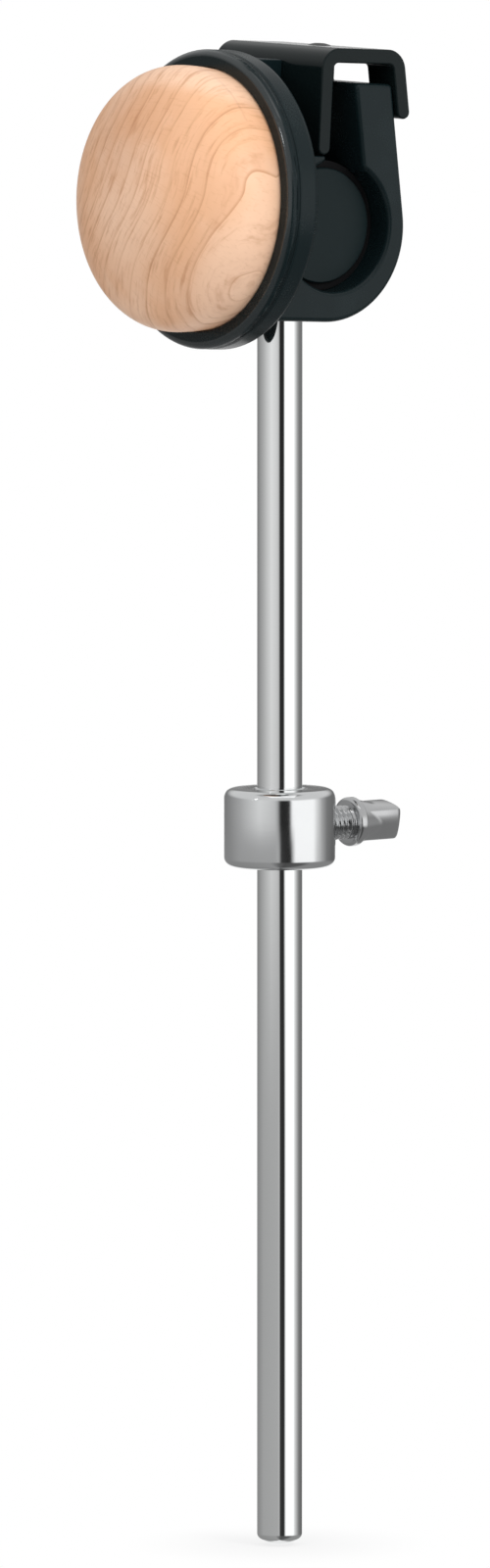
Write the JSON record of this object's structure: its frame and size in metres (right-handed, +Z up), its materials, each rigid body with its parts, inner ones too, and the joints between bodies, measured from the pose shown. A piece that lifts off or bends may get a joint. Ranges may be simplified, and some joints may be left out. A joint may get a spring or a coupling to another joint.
{
  "type": "bass drum beater",
  "caption": "Bass drum beater with a domed maple striker in a tilting black head, on a chromed rod with a sliding memory collar and its key screw.",
  "frame": {"origin": "on the rod's axis, at the lower end of its full-diameter shank", "axes": "+Z up the rod to the head, -Y the way the striker hits the drum, +X along the head's pivot"},
  "size_m": [0.0524, 0.0611, 0.2653],
  "materials": {
    "chromed_rod": "polished chrome plate on steel",
    "satin_chrome": "satin chrome plate on turned steel",
    "black_moulding": "fine satin moulded nylon",
    "pivot_black": "smooth satin moulded acetal",
    "bush_rubber": "matt black rubber",
    "maple": "sanded and thinly lacquered maple",
    "black_steel": "satin black paint on bent steel",
    "black_screw": "black oxide on steel",
    "zinc_screw": "bright zinc plate on steel",
    "insert_brass": "turned brass"
  },
  "bodies": {
    "rod_group": {"rod": "chromed_rod", "pivot_barrel": "pivot_black", "pivot_bush": "bush_rubber", "lock_washer": "zinc_screw", "rod_screw": "zinc_screw"},
    "head": {"head_shell": "black_moulding", "striker": "maple", "striker_screws": "black_screw", "keeper_bracket": "black_steel", "bracket_screw": "black_screw", "bracket_insert": "insert_brass"},
    "collar": {"memory_collar": "satin_chrome"},
    "key": {"key_screw": "satin_chrome"}
  },
  "joints": [
    {"name": "head_tilt", "type": "hinge", "parent": "rod_group", "child": "head", "pos_m": [0, 0.0012, 0.2318], "axis": [1, 0, 0], "range_deg": [-4.5, 11.5]},
    {"name": "collar_slide", "type": "slide", "parent": "rod_group", "child": "collar", "axis": [0, 0, 1], "range_m": [-0.1, 0.07]},
    {"name": "key_screw_turn", "type": "hinge", "parent": "collar", "child": "key", "pos_m": [0, 0.01, 0.1252], "axis": [0, 1, 0], "range_deg": [0, 720]}
  ]
}
